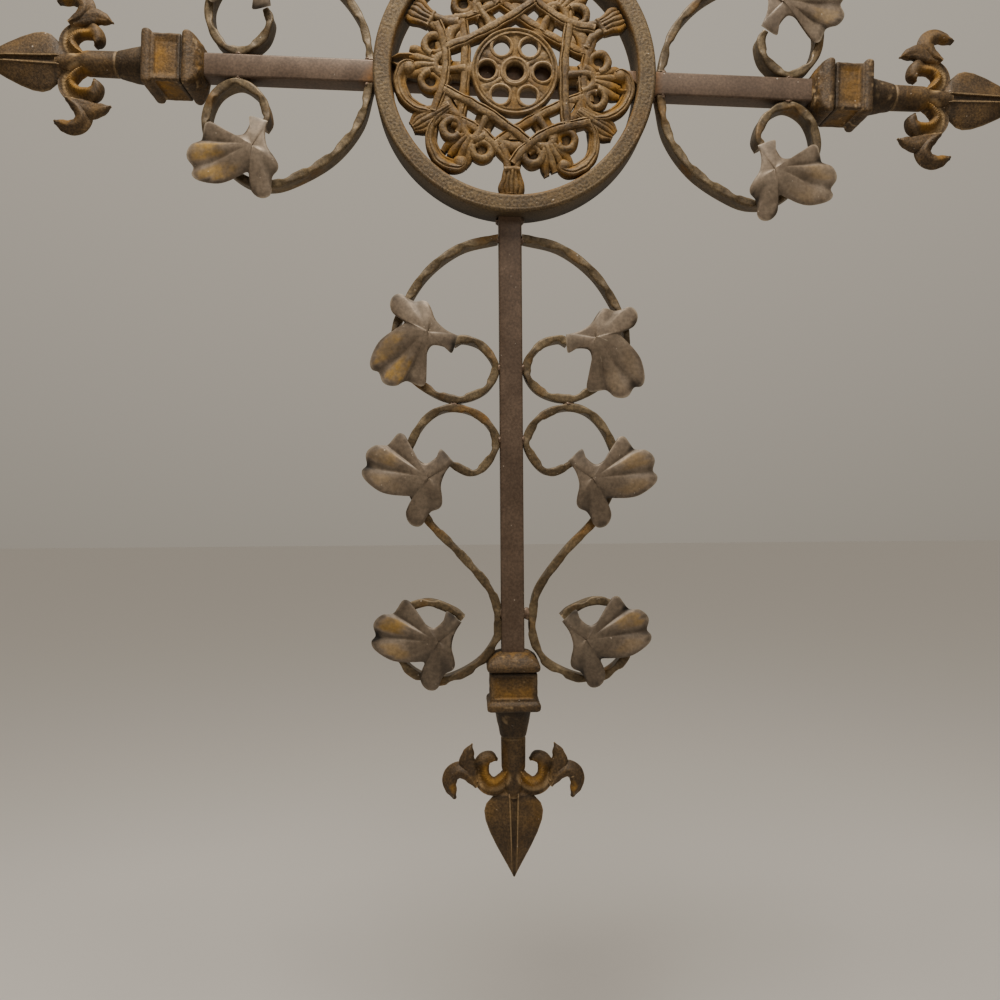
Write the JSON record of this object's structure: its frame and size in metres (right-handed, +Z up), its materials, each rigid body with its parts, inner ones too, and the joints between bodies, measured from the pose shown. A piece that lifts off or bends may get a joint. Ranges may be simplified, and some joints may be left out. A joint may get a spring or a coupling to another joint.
{
  "type": "wall cross",
  "caption": "Iron wall cross of square bars with a round cast openwork medallion, forged scrolls with pressed leaves, and a moulded collar and fleur-de-lis spear on each end.",
  "frame": {"origin": "where the back of the top collar's upper bead lies on the wall; the four collars' backs share that plane, and the arms cross 174 mm below and 8.6 mm in front of it", "axes": "+Z up along the foot, +X to the viewer's right, front faces -Y, +Y into the wall"},
  "size_m": [0.5892, 0.0301, 0.7374],
  "materials": {
    "bar_iron": "dark satin brown, waxed over old rust",
    "cast_iron": "matt brown with ochre rust in the recesses",
    "strip_iron": "hammered satin olive brown",
    "leaf_iron": "smooth satin grey brown with ochre streaks"
  },
  "bodies": {
    "root": {"cross_bar": "bar_iron", "foot_bar": "bar_iron", "foot_collar": "cast_iron", "foot_finial": "cast_iron", "foot_left_c_scroll": "strip_iron", "foot_left_leaf": "leaf_iron", "foot_left_s_lower_leaf": "leaf_iron", "foot_left_s_scroll": "strip_iron", "foot_left_s_upper_leaf": "leaf_iron", "foot_right_c_scroll": "strip_iron", "foot_right_leaf": "leaf_iron", "foot_right_s_lower_leaf": "leaf_iron", "foot_right_s_scroll": "strip_iron", "foot_right_s_upper_leaf": "leaf_iron", "left_arm_lower_c_scroll": "strip_iron", "left_arm_lower_leaf": "leaf_iron", "left_arm_upper_c_scroll": "strip_iron", "left_arm_upper_leaf": "leaf_iron", "left_collar": "cast_iron", "left_finial": "cast_iron", "medallion": "cast_iron", "right_arm_lower_c_scroll": "strip_iron", "right_arm_lower_leaf": "leaf_iron", "right_arm_upper_c_scroll": "strip_iron", "right_arm_upper_leaf": "leaf_iron", "right_collar": "cast_iron", "right_finial": "cast_iron", "top_arm_left_c_scroll": "strip_iron", "top_arm_left_leaf": "leaf_iron", "top_arm_right_c_scroll": "strip_iron", "top_arm_right_leaf": "leaf_iron", "top_bar": "bar_iron", "top_collar": "cast_iron", "top_finial": "cast_iron"}
  },
  "joints": []
}
